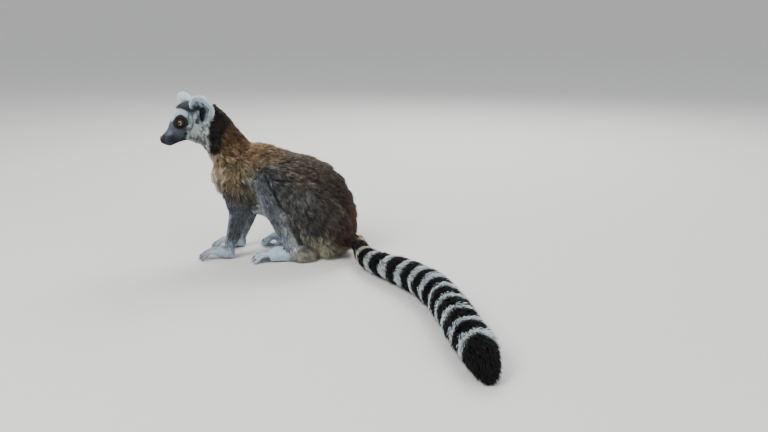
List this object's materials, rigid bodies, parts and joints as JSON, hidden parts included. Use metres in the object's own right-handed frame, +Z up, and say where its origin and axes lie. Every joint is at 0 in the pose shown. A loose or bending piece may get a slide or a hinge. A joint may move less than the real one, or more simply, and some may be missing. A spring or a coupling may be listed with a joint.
{
  "type": "ring-tailed lemur",
  "caption": "Life-size ring-tailed lemur sitting with its hands on the ground, head turned a little to its left, long banded tail curving out over the floor.",
  "frame": {"origin": "on the floor, under the middle of the animal's bounding box, tail included", "axes": "+Z up; the body faces -X, its left side is towards -Y, and the tail runs out towards +X and then -Y"},
  "size_m": [0.5436, 0.6554, 0.2948],
  "materials": {
    "back_coat": "dense short fur, warm grey-brown",
    "flank_coat": "dense woolly fur, dark grey-brown",
    "limb_coat": "short grizzled grey fur",
    "pale_coat": "very short pale fur",
    "face_coat": "very short pale fur with dark eye patches and a dark muzzle",
    "tail_coat": "long fur in black and pale rings",
    "eye": "wet, glossy"
  },
  "bodies": {
    "root": {"chest": "back_coat", "belly": "back_coat", "neck": "back_coat", "upper_arm_left": "back_coat", "upper_arm_right": "back_coat", "rump": "flank_coat", "thigh_left": "flank_coat", "thigh_right": "flank_coat", "forearm_left": "limb_coat", "forearm_right": "limb_coat", "shank_left": "limb_coat", "shank_right": "limb_coat", "hand_left": "pale_coat", "hand_right": "pale_coat", "foot_left": "pale_coat", "foot_right": "pale_coat", "head": "face_coat", "ear_left": "face_coat", "ear_right": "face_coat", "tail_1": "tail_coat", "tail_2": "tail_coat", "tail_3": "tail_coat", "tail_4": "tail_coat", "tail_5": "tail_coat", "tail_6": "tail_coat", "tail_7": "tail_coat", "eye_left": "eye", "eye_right": "eye"}
  },
  "joints": []
}
